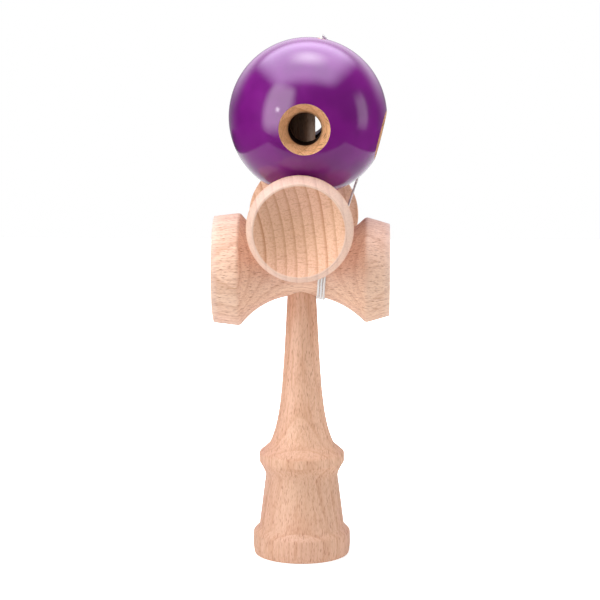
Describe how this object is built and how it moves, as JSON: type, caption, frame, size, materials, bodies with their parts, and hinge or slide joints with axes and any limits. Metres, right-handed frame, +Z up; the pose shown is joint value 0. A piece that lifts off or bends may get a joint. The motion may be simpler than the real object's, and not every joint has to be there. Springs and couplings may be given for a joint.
{
  "type": "kendama",
  "caption": "Turned wooden kendama with crossed cup pieces on a spiked handle, and a lacquered drilled ball held by a cord that is wound on the lower cup piece.",
  "frame": {"origin": "on the ken's axis, at the surface that the base cup stands on", "axes": "+Z up along the ken towards the spike, +X along the lower cup piece towards its small cup, -Y towards the front"},
  "size_m": [0.0672, 0.0672, 0.2007],
  "materials": {
    "beech": "sanded, waxed beech",
    "lacquer": "gloss purple lacquer on wood, bare wood in the holes",
    "bead": "plain turned bead",
    "cord": "white twisted cord"
  },
  "bodies": {
    "ken": {"ken_handle": "beech", "lower_cup_piece": "beech", "upper_cup_piece": "beech", "anchor_knot": "cord", "cord_winding": "cord", "cord_run": "cord"},
    "swivel": {"ball_bead": "bead", "bead_knot": "cord", "cord_over_ball": "cord"},
    "ball": {"ball": "lacquer"}
  },
  "joints": [
    {"name": "ball_lift", "type": "slide", "parent": "ken", "child": "swivel", "axis": [0, 0, 1], "range_m": [0, 0.06], "deforming": ["cord_run"]},
    {"name": "ball_spin", "type": "hinge", "parent": "swivel", "child": "ball", "pos_m": [0.0023, -0.0005, 0.16978], "axis": [0.165, -0.0349, 0.9857], "continuous": true}
  ]
}
